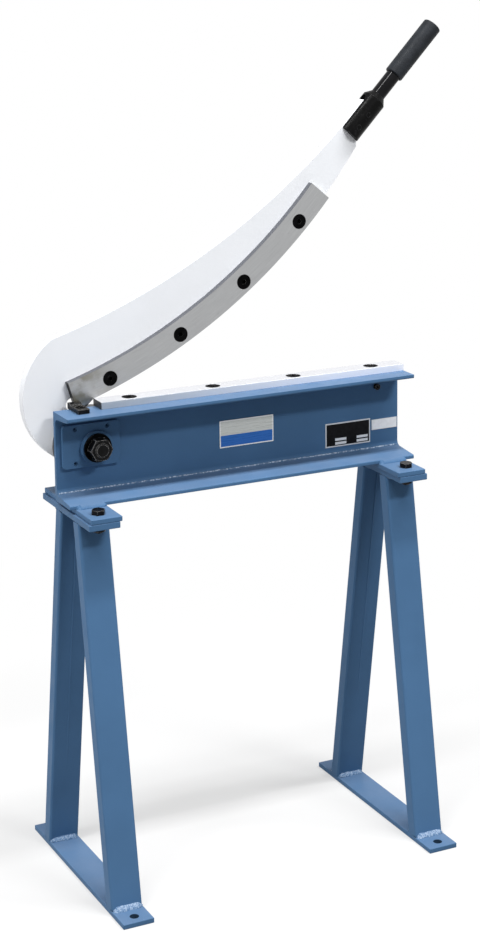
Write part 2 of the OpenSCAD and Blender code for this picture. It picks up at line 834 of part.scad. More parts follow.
module lever_plate() {
    color(white) difference() {
        at_pivot(lever_y, lever_t) lever_outline();
        rearward(pivot_x, lever_y - cut, pivot_z)
            cylinder(r = bush_d / 2 + thread_gap, h = lever_t + 2 * cut);
        for (p = upper_screws)
            rearward(pivot_x + p[0], lever_y - cut, pivot_z + p[1])
                cylinder(r = upper_screw_d / 2 + bolt_gap, h = lever_t + 2 * cut);
        at_handle() at_socket_pins()
            cylinder(r = socket_pin_d / 2 + thread_gap, h = lever_t + 2 * cut, center = true);
    }
}

module lever_bush() {
    color("peru") rearward(pivot_x, lever_y, pivot_z) washer(bush_d, pivot_d + 2 * bush_gap, lever_t);
}

// Curved blade with a nose at its heel, which is trimmed to clear the spacer disc
module upper_blade_outline() {
    wedge_r = 1.2 * edge_r;
    outer_r = 2 * edge_r;
    nose_start = on_curve(edge_r, heel_deg + nose_deg);
    nose_end = on_curve(edge_r + nose_l, heel_deg);
    nose_run = nose_end - nose_start;
    nose_back = on_curve(edge_r - upper_blade_w / 2, heel_deg - nose_deg);
    difference() {
        polygon([edge_centre, on_curve(wedge_r, heel_deg), on_curve(wedge_r, tip_deg)]);
        translate(edge_centre) circle(edge_r - upper_blade_w, $fn = large_fn);
        circle(spacer_r + spacer_gap);
        difference() {
            polygon([
                edge_centre, on_curve(outer_r, heel_deg - nose_deg), on_curve(outer_r, tip_deg + nose_deg)
            ]);
            translate(edge_centre) circle(edge_r, $fn = large_fn);
            polygon([nose_start - nose_run, nose_end + nose_run, nose_back]);
        }
    }
}

module upper_blade() {
    color(steel) difference() {
        at_pivot(upper_blade_y, upper_blade_t) upper_blade_outline();
        for (p = upper_screws)
            forward(pivot_x + p[0], upper_blade_y, pivot_z + p[1])
                countersunk_hole(upper_screw_d, upper_screw_head_d, upper_blade_t + cut);
    }
}

module upper_blade_screws() {
    screw_l = upper_blade_t - head_sink + lever_t + upper_nut_h;
    color(black) for (p = upper_screws)
        forward(pivot_x + p[0], upper_blade_y + head_sink, pivot_z + p[1])
            countersunk_screw(upper_screw_d, upper_screw_head_d, screw_l);
}

module upper_blade_nuts() {
    color(black) for (p = upper_screws)
        rearward(pivot_x + p[0], lever_rear, pivot_z + p[1])
            hex_nut(upper_nut_hex, upper_nut_h, upper_screw_d);
}

// Handle, drawn upwards along its own middle line from the socket's foot

module at_handle() {
    translate([pivot_x + socket_foot[0], lever_mid, pivot_z + socket_foot[1]]) rotate([0, 90 - handle_deg, 0])
        children();
}

module at_socket_pins() {
    for (i = [0, 1])
        translate([0, 0, socket_pin_in + i * socket_pin_pitch]) rotate([90, 0, 0]) children();
}

// Slot with a round end, drawn upwards from the socket's foot
module slot_outline(w) {
    r = w / 2;
    polygon(concat([[-r, -cut], [r, -cut]], arc([0, slot_l - r], r, 0, 180)));
}

module handle_socket() {
    slot_w = lever_t + 2 * slot_gap;
    r = socket_d / 2;
    color(black) at_handle() difference() {
        rotate_extrude() polygon([
            [0, 0], [r - bar_chamfer, 0], [r, bar_chamfer], [r, socket_l],
            [rod_d / 2 + bar_chamfer, socket_end], [0, socket_end]
        ]);
        rotate([90, 0, 90]) linear_extrude(2 * socket_d, center = true) slot_outline(slot_w);
        translate([0, 0, rod_start]) cylinder(r = rod_d / 2 + thread_gap, h = rod_seat + cut);
        at_socket_pins() cylinder(r = socket_pin_d / 2 + thread_gap, h = socket_d + cut, center = true);
    }
}

module socket_pins() {
    color(black) at_handle() intersection() {
        at_socket_pins() cylinder(d = socket_pin_d, h = socket_d, center = true);
        cylinder(d = socket_d, h = socket_l);
    }
}

module handle_rod() {
    l = rod_seat + rod_bare_l + grip_l - grip_end_t;
    color(black) at_handle() translate([0, 0, rod_start]) cylinder(d = rod_d, h = l);
}

// Half outline of the grip with its rounded ends and the mouth of its bore
module grip_outline() {
    r = grip_d / 2;
    bore_r = rod_d / 2 + thread_gap;
    bore_end = grip_end - grip_end_t;
    difference() {
        union() {
            translate([0, grip_start]) square([r - grip_round, grip_l]);
            translate([0, grip_start + grip_round]) square([r, grip_l - 2 * grip_round]);
            for (z = [grip_start + grip_round, grip_end - grip_round])
                translate([r - grip_round, z]) circle(grip_round);
        }
        translate([-cut, grip_start - cut]) square([bore_r + cut, bore_end - grip_start + cut]);
        polygon([
            [0, grip_start - cut], [bore_r + 2 * bar_chamfer, grip_start - cut],
            [bore_r, grip_start + bar_chamfer], [0, grip_start + bar_chamfer]
        ]);
    }
}

module handle_grip() {
    color(black) at_handle() rotate_extrude() grip_outline();
}

base_plate(-1);  // left_base_plate
base_plate(1);  // right_base_plate
leg(-1, -1);  // left_front_leg
leg(-1, 1);  // left_rear_leg
leg(1, -1);  // right_front_leg
leg(1, 1);  // right_rear_leg
bolted_plate(-1, stand_plate_t, leg_top_z, 0);  // left_stand_plate
bolted_plate(1, stand_plate_t, leg_top_z, 0);  // right_stand_plate
bolted_plate(-1, foot_plate_t, stand_h, foot_plate_in);  // left_foot_plate
bolted_plate(1, foot_plate_t, stand_h, foot_plate_in);  // right_foot_plate
foot_bolts();
foot_nuts();
beam();
lower_blade();
lower_blade_screws();
guide_block();
guide_screw();
stop_pin();
stop_screw();
pivot_plate();
pivot_plate_screws();
pivot_boss();
pivot_spacer();
pivot_bolt();
pivot_washer();
pivot_nut();
pivot_rear_washer();
name_plate();
data_plate();
small_plate();
lever_plate();
lever_bush();
upper_blade();
upper_blade_screws();
upper_blade_nuts();
handle_socket();
socket_pins();
handle_rod();
handle_grip();
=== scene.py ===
import json
import math
import random

import bpy
from mathutils import Matrix, Vector


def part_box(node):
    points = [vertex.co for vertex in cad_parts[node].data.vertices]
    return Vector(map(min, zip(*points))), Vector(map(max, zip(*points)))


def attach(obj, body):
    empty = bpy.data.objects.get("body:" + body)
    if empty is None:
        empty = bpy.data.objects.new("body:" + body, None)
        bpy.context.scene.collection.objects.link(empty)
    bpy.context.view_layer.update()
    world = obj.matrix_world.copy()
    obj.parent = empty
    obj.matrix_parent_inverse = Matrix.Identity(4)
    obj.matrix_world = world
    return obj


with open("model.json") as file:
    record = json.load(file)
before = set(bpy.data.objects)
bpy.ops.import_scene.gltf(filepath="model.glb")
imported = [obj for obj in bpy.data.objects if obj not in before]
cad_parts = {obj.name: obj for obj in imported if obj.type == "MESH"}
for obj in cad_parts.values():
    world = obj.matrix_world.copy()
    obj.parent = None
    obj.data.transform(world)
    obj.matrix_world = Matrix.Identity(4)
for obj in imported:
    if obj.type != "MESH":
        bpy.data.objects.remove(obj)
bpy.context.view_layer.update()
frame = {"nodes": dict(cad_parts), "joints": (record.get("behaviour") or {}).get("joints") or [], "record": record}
nodes = frame["nodes"]

# Places that the looks share with the CAD model, in metres
PIVOT = Vector(next(joint["pos_m"] for joint in frame["joints"] if joint["name"] == "lever_pivot"))
EDGE_CENTRE = PIVOT + Vector((-0.295, 0, 0.956))
EDGE_RADIUS = 0.934
BLADE_WIDTH = 0.040
HEEL_ANGLE = math.radians(16.8)
# The hollow between the beam's web and its lower flange
ROOT_CENTRE = Vector((0, 0.014, 0.6272))
ROOT_RADIUS = 0.009
# Rise and run of a leg from its base plate to its stand plate, and the depth of its tube
LEG_RISE = 0.582
LEG_RUN = 0.096
LEG_TUBE = 0.025
LEG_LEAN = math.atan2(LEG_RUN, LEG_RISE)
LEG_DEPTH = LEG_TUBE / math.cos(LEG_LEAN)


# Materials

class Look:
    """A Principled material, with short calls for the nodes that vary it over the surface."""

    def __init__(self, name, colour, roughness, metallic=0.0, specular=0.5):
        self.material = bpy.data.materials.new(name)
        self.material.use_nodes = True
        self.tree = self.material.node_tree
        self.shader = self.tree.nodes["Principled BSDF"]
        self.shader.inputs["Base Color"].default_value = (*colour, 1)
        self.shader.inputs["Roughness"].default_value = roughness
        self.shader.inputs["Metallic"].default_value = metallic
        self.shader.inputs["Specular IOR Level"].default_value = specular
        self.colour = colour
        self.rounded = None
        self.place = self.node("ShaderNodeTexCoord").outputs["Object"]

    def node(self, kind, **settings):
        made = self.tree.nodes.new(kind)
        for key, value in settings.items():
            setattr(made, key, value)
        return made

    def feed(self, socket, value):
        """Links a socket, or sets a plain value."""
        if isinstance(value, bpy.types.NodeSocket):
            self.tree.links.new(value, socket)
        elif isinstance(value, tuple):
            socket.default_value = (*value, 1)
        else:
            socket.default_value = value

    def math(self, operation, a, b=0.0):
        made = self.node("ShaderNodeMath", operation=operation)
        self.feed(made.inputs[0], a)
        self.feed(made.inputs[1], b)
        return made.outputs[0]

    def vector(self, operation, a, b):
        made = self.node("ShaderNodeVectorMath", operation=operation)
        self.feed(made.inputs[0], a)
        made.inputs[1].default_value = b
        gives_number = operation in ("LENGTH", "DOT_PRODUCT")
        return made.outputs["Value" if gives_number else "Vector"]

    def axis(self, index, source=None):
        made = self.node("ShaderNodeSeparateXYZ")
        self.feed(made.inputs[0], source or self.place)
        return made.outputs[index]

    def facing_up(self):
        """1 on the faces that look up, 0 on the upright ones."""
        normal = self.node("ShaderNodeTexCoord").outputs["Normal"]
        upright, level = 0.5, 0.9
        return self.ramp(self.axis(2, normal), upright, level)

    def noise(self, scale, detail=3.0, stretch=(1, 1, 1), place=None):
        made = self.node("ShaderNodeTexNoise")
        self.feed(made.inputs["Vector"], self.vector("MULTIPLY", place or self.place, stretch))
        made.inputs["Scale"].default_value = scale
        made.inputs["Detail"].default_value = detail
        return made.outputs["Fac"]

    def ramp(self, value, low, high, out_low=0.0, out_high=1.0):
        made = self.node("ShaderNodeMapRange", interpolation_type="SMOOTHSTEP")
        for socket, number in zip(("Value", "From Min", "From Max", "To Min", "To Max"),
                                  (value, low, high, out_low, out_high)):
            self.feed(made.inputs[socket], number)
        return made.outputs["Result"]

    def mix(self, share, a, b):
        made = self.node("ShaderNodeMix", data_type="RGBA")
        self.feed(made.inputs["Factor"], share)
        self.feed(made.inputs["A"], a)
        self.feed(made.inputs["B"], b)
        return made.outputs["Result"]

    def blend(self, share, shader_a, shader_b):
        made = self.node("ShaderNodeMixShader")
        self.feed(made.inputs[0], share)
        self.feed(made.inputs[1], shader_a)
        self.feed(made.inputs[2], shader_b)
        return made.outputs[0]

    def rectangle(self, middle_x, middle_z, width, height):
        """1 inside an upright rectangle, 0 outside."""
        inside = 1.0
        for index, middle, size in ((0, middle_x, width), (2, middle_z, height)):
            offset = self.math("ABSOLUTE", self.math("SUBTRACT", self.axis(index), middle))
            inside = self.math("MULTIPLY", self.math("LESS_THAN", offset, size / 2), inside)
        return inside

    def edges(self, radius, soften=True):
        """Returns 1 on the sharp edges and 0 away from them, and softens them where that is asked for."""
        bevel = self.node("ShaderNodeBevel", samples=6)
        bevel.inputs["Radius"].default_value = radius
        flat = self.node("ShaderNodeNewGeometry").outputs["Normal"]
        made = self.node("ShaderNodeVectorMath", operation="DOT_PRODUCT")
        self.feed(made.inputs[0], bevel.outputs[0])
        self.feed(made.inputs[1], flat)
        if soften:
            self.rounded = bevel.outputs[0]
        still_flat, fully_turned = 0.995, 0.86
        return self.ramp(made.outputs["Value"], still_flat, fully_turned)

    def bump(self, height, distance):
        made = self.node("ShaderNodeBump")
        made.inputs["Strength"].default_value = 1.0
        made.inputs["Distance"].default_value = distance
        self.feed(made.inputs["Height"], height)
        if self.rounded is not None:
            self.feed(made.inputs["Normal"], self.rounded)
        self.feed(self.shader.inputs["Normal"], made.outputs[0])

    def cloudy(self, cloud, low, high, dark, pale):
        """The look's colour times dark to times pale, as cloud goes from low to high."""
        return self.mix(self.ramp(cloud, low, high), shade(self.colour, dark), shade(self.colour, pale))

    def paint(self, colour):
        self.feed(self.shader.inputs["Base Color"], colour)

    def gloss(self, roughness):
        self.feed(self.shader.inputs["Roughness"], roughness)


def shade(colour, factor):
    return tuple(channel * factor for channel in colour)


def floor_bore_shade(look):
    """1 on the walls of the floor-bolt holes, where shade is painted, 0 elsewhere; the origin is midway between
    the holes.
    """
    millimetre = 0.001
    holes = next(mount["dims"] for mount in frame["record"]["mounts"] if mount["name"] == "floor_bolts")
    radius = holes["hole_r_mm"] * millimetre
    from_hole = look.node("ShaderNodeCombineXYZ")
    for index, spacing in enumerate((holes["spacing_x_mm"], holes["spacing_y_mm"])):
        from_middle = look.math("ABSOLUTE", look.axis(index))
        look.feed(from_hole.inputs[index], look.math("SUBTRACT", from_middle, spacing / 2 * millimetre))
    distance = look.vector("LENGTH", from_hole.outputs[0], (0, 0, 0))
    return look.ramp(distance, radius + 0.0004, radius + 0.0001)


def blue_paint(name="blue_paint", ripple=0.0, specular=0.06, shaded_bores=False):
    """Blue enamel; ripple paints the crests of a weld paler, as a painted highlight for their glints, and the bore
    flag paints shade into the floor-bolt holes.
    """
    look = Look(name, (0.071, 0.158, 0.297), 0.40, specular=specular)
    edge = look.edges(0.0009)
    cloud = look.noise(7, 4)
    speck = look.noise(420, 2)
    colour = look.cloudy(cloud, 0.3, 0.7, 0.94, 1.06)
    colour = look.mix(look.ramp(speck, 0.66, 0.78, 0.0, 0.25), colour, shade(look.colour, 1.4))
    colour = look.mix(look.math("MULTIPLY", edge, 0.14), colour, shade(look.colour, 1.7))
    # Dust and sheen: the faces that look up turn paler and warmer, partly dust and partly a painted sheen for the
    # haze on lit tops.
    dust_and_sheen = look.math("MULTIPLY", look.facing_up(), look.ramp(look.noise(18, 5), 0.25, 0.75, 0.03, 0.07))
    colour = look.mix(dust_and_sheen, colour, (0.69, 0.57, 0.47))
    # Paler weld crests: a painted highlight for the glints on them.
    if ripple:
        crest = look.ramp(look.noise(380, 2), 0.42, 0.62, 0.0, ripple)
        colour = look.mix(crest, colour, (0.55, 0.66, 0.80))
    # Painted shade in the floor-bolt holes.
    if shaded_bores:
        colour = look.mix(floor_bore_shade(look), colour, shade(look.colour, 0.3))
    look.paint(colour)
    look.gloss(look.ramp(look.noise(35, 3), 0.3, 0.7, 0.34, 0.46))
    grain = look.math("ADD", look.noise(650, 2), look.math("MULTIPLY", look.noise(45, 3), 2.0))
    look.bump(grain, 0.00012)
    return look.material


def white_paint():
    look = Look("white_paint", (0.90, 0.92, 0.955), 0.40, specular=0.12)
    edge = look.edges(0.0012, soften=False)
    cloud = look.noise(5, 4)
    colour = look.mix(look.ramp(cloud, 0.35, 0.7), shade(look.colour, 0.965), look.colour)
    smudge = look.ramp(look.noise(28, 5), 0.62, 0.8, 0.0, 0.14)
    colour = look.mix(smudge, colour, (0.66, 0.68, 0.71))
    look.paint(look.mix(look.math("MULTIPLY", edge, 0.2), colour, (0.95, 0.96, 0.98)))
    look.gloss(look.ramp(look.noise(40, 3), 0.3, 0.7, 0.34, 0.46))
    look.bump(look.math("ADD", look.noise(600, 2), look.noise(60, 3)), 0.0001)
    return look.material


def upper_blade_steel():
    look = Look("upper_blade_steel", (0.385, 0.39, 0.395), 0.36, metallic=1.0)
    edge = look.edges(0.0006, soften=False)
    across_heel = (math.cos(HEEL_ANGLE), 0, math.sin(HEEL_ANGLE))
    back_radius = EDGE_RADIUS - BLADE_WIDTH
    from_centre = look.vector("MULTIPLY", look.vector("SUBTRACT", look.place, EDGE_CENTRE), (1, 0, 1))
    radius = look.vector("LENGTH", from_centre, (0, 0, 0))
    from_heel = look.vector("DOT_PRODUCT", from_centre, across_heel)
    rings = look.node("ShaderNodeCombineXYZ")
    look.feed(rings.inputs[0], look.math("MULTIPLY", radius, 60.0))
    look.feed(rings.inputs[1], look.axis(0))
    look.feed(rings.inputs[2], look.axis(1))
    grind = look.noise(30, 4, place=rings.outputs[0])
    colour = look.cloudy(grind, 0.25, 0.75, 0.90, 1.10)
    # Mottled brown towards the heel end.
    brown_towards_heel = look.math("MULTIPLY", look.ramp(look.noise(45, 6), 0.36, 0.66), look.ramp(from_heel, 0.09, 0.0))
    colour = look.mix(brown_towards_heel, colour, (0.20, 0.19, 0.155))
    colour = look.mix(look.ramp(look.noise(160, 3), 0.6, 0.8, 0.0, 0.3), colour, (0.28, 0.28, 0.28))
    colour = look.mix(look.math("MULTIPLY", edge, 0.15), colour, (0.55, 0.55, 0.55))
    back = look.ramp(radius, back_radius + 0.0004, back_radius + 0.0001)
    colour = look.mix(back, colour, (0.21, 0.215, 0.235))
    # Painted shade: the heel's end face and the nose below the cutting edge turn nearly black.
    shaded_end_face = look.ramp(from_heel, 0.0008, 0.0003)
    shaded_nose = look.ramp(radius, EDGE_RADIUS + 0.0015, EDGE_RADIUS + 0.006)
    look.paint(look.mix(look.math("MAXIMUM", shaded_end_face, shaded_nose), colour, (0.022, 0.021, 0.020)))
    look.gloss(look.ramp(grind, 0.2, 0.8, 0.32, 0.46))
    look.bump(grind, 0.00006)
    return look.material


def lower_blade_steel():
    low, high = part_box("lower_blade")
    look = Look("lower_blade_steel", (0.54, 0.545, 0.57), 0.38, metallic=0.3)
    edge = look.edges(0.0006)
    grind = look.noise(30, 4, stretch=(1.5, 60, 60))
    colour = look.cloudy(grind, 0.25, 0.75, 0.94, 1.06)
    # The front face gets a much paler colour than the top, painted light for the brighter look of that face,
    # greyer in mottled patches towards the left end.
    front = look.ramp(look.axis(1), low.y + 0.0006, low.y + 0.0002)
    patches = look.ramp(look.noise(60, 5), 0.2, 0.8, 0.9, 1.0)
    greyer_leftward = look.ramp(look.axis(0), high.x - 0.08, low.x - 0.06, 0.0, patches)
    ground = look.mix(greyer_leftward, (0.85, 0.87, 0.94), (0.37, 0.41, 0.45))
    colour = look.mix(front, colour, ground)
    colour = look.mix(look.math("MULTIPLY", edge, 0.3), colour, (0.80, 0.81, 0.84))
    # Painted shade: the left end face turns dark.
    shaded_end_face = look.ramp(look.axis(0), low.x + 0.0008, low.x + 0.0003)
    look.paint(look.mix(shaded_end_face, colour, (0.05, 0.05, 0.05)))
    look.gloss(look.ramp(grind, 0.2, 0.8, 0.32, 0.44))
    look.bump(grind, 0.00004)
    return look.material


def black_oxide(name="black_oxide", edge_width=0.0008, wear_and_highlight=0.5):
    """Blackened steel; the last argument sets how far its edges turn pale, partly as wear and partly as a painted
    highlight along them.
    """
    look = Look(name, (0.005, 0.005, 0.0055), 0.30, specular=0.09)
    edge = look.edges(edge_width)
    worn = look.math("MULTIPLY", edge, look.ramp(look.noise(140, 3), 0.30, 0.5, 0.0, wear_and_highlight))
    colour = look.cloudy(look.noise(90, 4), 0.35, 0.7, 0.6, 1.6)
    look.paint(look.mix(worn, colour, (0.60, 0.59, 0.58)))
    look.gloss(look.ramp(look.noise(120, 3), 0.3, 0.7, 0.24, 0.38))
    look.bump(look.noise(500, 3), 0.00006)
    return look.material


def dull_black():
    """Blackened steel with little shine, as on the sunk screws and the pivot washer."""
    look = Look("dull_black", (0.003, 0.003, 0.0032), 0.45, specular=0.01)
    edge = look.edges(0.0008, soften=False)
    # Pale rims: partly wear and partly a painted highlight along the edges.
    worn = look.math("MULTIPLY", edge, look.ramp(look.noise(150, 3), 0.42, 0.66, 0.0, 0.6))
    colour = look.cloudy(look.noise(90, 4), 0.35, 0.7, 0.7, 1.6)
    look.paint(look.mix(worn, colour, (0.16, 0.155, 0.15)))
    look.gloss(look.ramp(look.noise(120, 3), 0.3, 0.7, 0.4, 0.55))
    look.bump(look.noise(500, 3), 0.00006)
    return look.material


def dark_steel():
    look = Look("dark_steel", (0.17, 0.17, 0.175), 0.4, metallic=1.0)
    edge = look.edges(0.0006)
    colour = look.cloudy(look.noise(60, 4), 0.3, 0.7, 0.7, 1.3)
    look.paint(look.mix(look.math("MULTIPLY", edge, 0.6), colour, (0.5, 0.5, 0.5)))
    look.gloss(look.ramp(look.noise(200, 3), 0.3, 0.7, 0.34, 0.5))
    look.bump(look.noise(400, 3), 0.00008)
    return look.material


def bronze():
    look = Look("bush_bronze", (0.55, 0.36, 0.17), 0.35, metallic=1.0)
    colour = look.mix(look.ramp(look.noise(120, 4), 0.3, 0.7), shade(look.colour, 0.7), look.colour)
    look.paint(colour)
    look.gloss(look.ramp(look.noise(300, 2), 0.3, 0.7, 0.3, 0.45))
    look.bump(look.noise(500, 2), 0.00006)
    return look.material


def socket_black():
    look = Look("socket_black", (0.0025, 0.0025, 0.0026), 0.28, specular=0.07)
    edge = look.edges(0.001)
    worn = look.ramp(look.noise(110, 5), 0.58, 0.72, 0.0, 0.25)
    colour = look.mix(worn, look.colour, (0.040, 0.041, 0.043))
    look.paint(look.mix(look.math("MULTIPLY", edge, 0.25), colour, (0.12, 0.12, 0.13)))
    look.gloss(look.ramp(look.noise(70, 4), 0.3, 0.7, 0.20, 0.36))
    look.bump(look.math("ADD", look.noise(220, 4), look.noise(60, 2)), 0.0002)
    return look.material


def rod_black():
    look = Look("rod_black", (0.0030, 0.0030, 0.0036), 0.15, specular=0.12)
    colour = look.mix(look.ramp(look.noise(50, 3), 0.4, 0.7), look.colour, shade(look.colour, 2.2))
    look.paint(colour)
    look.gloss(look.ramp(look.noise(90, 3), 0.3, 0.7, 0.12, 0.19))
    look.bump(look.noise(140, 3), 0.00001)
    return look.material


def grip_rubber():
    look = Look("grip_rubber", (0.016, 0.0185, 0.0225), 0.5, specular=0.13)
    edge = look.edges(0.0012)
    colour = look.cloudy(look.noise(60, 4), 0.35, 0.7, 0.8, 1.25)
    look.paint(look.mix(look.math("MULTIPLY", edge, 0.35), colour, (0.12, 0.125, 0.13)))
    look.gloss(look.ramp(look.noise(150, 3), 0.3, 0.7, 0.42, 0.56))
    look.bump(look.math("ADD", look.noise(900, 3), look.noise(180, 3)), 0.00025)
    return look.material


def name_plate_metal():
    low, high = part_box("name_plate")
    middle, size = (low + high) / 2, high - low
    border = 0.0018
    blue_share = 0.45
    split = low.z + blue_share * size.z
    look = Look("name_plate_metal", (0.56, 0.58, 0.56), 0.34, metallic=0.3, specular=0.1)
    brushed = look.noise(40, 3, stretch=(1, 40, 40))
    silver = look.cloudy(brushed, 0.3, 0.7, 0.96, 1.04)
    blue = look.mix(look.ramp(brushed, 0.3, 0.7), (0.028, 0.128, 0.43), (0.032, 0.14, 0.47))
    two_tone = look.mix(look.math("LESS_THAN", look.axis(2), split), silver, blue)
    field = look.rectangle(middle.x, middle.z, size.x - 2 * border, size.z - 2 * border)
    look.paint(look.mix(field, (0.78, 0.79, 0.80), two_tone))
    look.gloss(look.ramp(brushed, 0.3, 0.7, 0.26, 0.36))
    return look.material


def data_plate_metal():
    low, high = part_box("data_plate")
    middle, size = (low + high) / 2, high - low
    border = 0.002
    field_width = 0.25 * size.x
    field_height = 0.0042
    look = Look("data_plate_metal", (0.006, 0.006, 0.007), 0.35, specular=0.06)
    grain = look.ramp(look.noise(200, 3), 0.3, 0.7)
    ground = look.mix(grain, shade(look.colour, 0.8), shade(look.colour, 1.5))
    panel = look.rectangle(middle.x, middle.z, size.x - 2 * border, size.z - 2 * border)
    colour = look.mix(panel, (0.72, 0.74, 0.77), ground)
    for field_x in (-0.16, 0.32):
        for field_z in (-0.20, -0.36):
            field = look.rectangle(middle.x + field_x * size.x, middle.z + field_z * size.z,
                                   field_width, field_height)
            colour = look.mix(field, colour, (0.80, 0.82, 0.84))
    look.paint(colour)
    look.gloss(look.ramp(look.noise(90, 3), 0.3, 0.7, 0.28, 0.42))
    return look.material


def small_plate_metal():
    low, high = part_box("small_plate")
    middle, size = (low + high) / 2, high - low
    border = 0.0015
    look = Look("small_plate_metal", (0.92, 0.93, 0.97), 0.35, specular=0.5)
    panel = look.rectangle(middle.x, middle.z, size.x - 2 * border, size.z - 2 * border)
    grain = look.ramp(look.noise(160, 4), 0.35, 0.65)
    inner = look.mix(grain, shade(look.colour, 0.93), look.colour)
    look.paint(look.mix(panel, (0.86, 0.87, 0.88), inner))
    look.gloss(look.ramp(look.noise(90, 3), 0.3, 0.7, 0.3, 0.42))
    return look.material


LOOKS = {
    "frame_paint": blue_paint(),
    "lever_paint": white_paint(),
    "upper_blade_steel": upper_blade_steel(),
    "lower_blade_steel": lower_blade_steel(),
    "fastener_black": black_oxide(),
    "dark_steel": dark_steel(),
    "bush_bronze": bronze(),
    "socket_black": socket_black(),
    "rod_black": rod_black(),
    "grip_rubber": grip_rubber(),
    "name_plate_metal": name_plate_metal(),
    "data_plate_metal": data_plate_metal(),
    "small_plate_metal": small_plate_metal(),
}
# Nodes that look unlike the rest of their slot: floor-bolt holes with painted shade, painted pins, dull screws and
# a pivot whose pale edges are partly wear and partly painted highlight
BASE_PAINT_SHADED_BORES = blue_paint("base_paint_shaded_bores", shaded_bores=True)
DULL_BLACK = dull_black()
PIVOT_STEEL = black_oxide("pivot_steel", edge_width=0.0016, wear_and_highlight=1.0)
OWN_LOOKS = {
    "left_base_plate": BASE_PAINT_SHADED_BORES,
    "right_base_plate": BASE_PAINT_SHADED_BORES,
    "socket_pins": LOOKS["socket_black"],
    "upper_blade_screws": DULL_BLACK,
    "lower_blade_screws": DULL_BLACK,
    "guide_screw": DULL_BLACK,
    "pivot_washer": DULL_BLACK,
    "pivot_bolt": PIVOT_STEEL,
    "pivot_nut": PIVOT_STEEL,
}
for part in frame["record"]["subparts"]:
    for material_slot in nodes[part["node"]].material_slots:
        material_slot.material = OWN_LOOKS.get(part["node"], LOOKS[part["material_slot"]])


# Welds

# Paler crests on the welds and the root seam: a painted highlight for their glints.
WELD_LOOK = blue_paint("weld_paint", ripple=0.38, specular=0.3)
SEAM_LOOK = blue_paint("seam_paint", ripple=1.0, specular=0.4)


def add_piece(name, verts, faces, slot, look=None):
    mesh = bpy.data.meshes.new(name)
    mesh.from_pydata(verts, [], faces)
    mesh.update()
    for polygon in mesh.polygons:
        polygon.use_smooth = True
    piece = bpy.data.objects.new(name, mesh)
    bpy.context.scene.collection.objects.link(piece)
    mesh.materials.append(look or LOOKS[slot])
    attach(piece, "stand")


def fillet_bead(verts, faces, start, end, side_a, side_b, leg, chance):
    """Adds a rippled fillet weld along a corner; side_a and side_b point away from the corner."""
    step = 0.0009
    ripple = 0.0034
    sunk = 0.0008
    across = 7
    least_count = 8
    stretch = 8
    end_slope, end_size = 6, 0.35
    uneven = 0.10
    flat_crown, wave_crown = 0.02, 0.13
    most_lag = 0.0016
    count = max(least_count, round((end - start).length / step))
    run = (end - start).normalized()
    wander = [chance.uniform(-1, 1) for _ in range(count // stretch + 3)]
    first = len(verts)
    ring = across + 3
    for i in range(count + 1):
        s = i / count
        before, after = wander[i // stretch], wander[i // stretch + 1]
        slow = before + (after - before) * (i % stretch) / stretch
        taper = min(1.0, end_slope * s + end_size, end_slope * (1 - s) + end_size)
        wave = abs(math.sin(math.pi * i * step / ripple))
        size = leg * taper * (1 + uneven * slow)
        corner = start + (end - start) * s
        verts.append(corner - sunk * (side_a + side_b))
        verts.append(corner + size * side_a - sunk * side_b)
        for k in range(across):
            turn = math.pi / 2 * k / (across - 1)
            crown = math.sin(2 * turn)
            swell = crown * size * (flat_crown + wave_crown * wave)
            reach_a = size * (0.5 + 0.5 * math.cos(2 * turn)) + swell
            reach_b = size * (0.5 - 0.5 * math.cos(2 * turn)) + swell
            verts.append(corner + reach_a * side_a + reach_b * side_b + run * (crown * most_lag))
        verts.append(corner + size * side_b - sunk * side_a)
    for i in range(count):
        for k in range(ring):
            a = first + i * ring + k
            b = first + i * ring + (k + 1) % ring
            faces.append((a, b, b + ring, a + ring))
    faces.append(tuple(first + k for k in reversed(range(ring))))
    faces.append(tuple(first + count * ring + k for k in range(ring)))


def legs():
    """Each leg's box, the side it stands on, and the Y of its outer and inner face at foot and top."""
    for side in ("left", "right"):
        for end, sign in (("front", -1), ("rear", 1)):
            low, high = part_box(f"{side}_{end}_leg")
            outer_foot = low.y if sign < 0 else high.y
            inner_top = high.y if sign < 0 else low.y
            inner_foot = outer_foot - sign * LEG_DEPTH
            outer_top = inner_top + sign * LEG_DEPTH
            yield low, high, sign, outer_foot, inner_foot, inner_top, outer_top


def leg_welds():
    chance = random.Random(11)
    verts, faces = [], []
    inset = 0.002
    outer_foot_size, inner_foot_size, top_size = 0.0065, 0.006, 0.005
    for low, high, sign, outer_foot, inner_foot, inner_top, outer_top in legs():
        out = Vector((0, sign, 0))
        along_leg = Vector((0, -sign * math.sin(LEG_LEAN), math.cos(LEG_LEAN)))
        left, right = low.x + inset, high.x - inset
        fillet_bead(verts, faces, Vector((left, outer_foot, low.z)), Vector((right, outer_foot, low.z)),
                    along_leg, out, outer_foot_size, chance)
        fillet_bead(verts, faces, Vector((right, inner_foot, low.z)), Vector((left, inner_foot, low.z)),
                    along_leg, -out, inner_foot_size, chance)
        fillet_bead(verts, faces, Vector((right, outer_top, high.z)), Vector((left, outer_top, high.z)),
                    -along_leg, out, top_size, chance)
        fillet_bead(verts, faces, Vector((left, inner_top, high.z)), Vector((right, inner_top, high.z)),
                    -along_leg, -out, top_size, chance)
    add_piece("leg_welds", verts, faces, "frame_paint", WELD_LOOK)


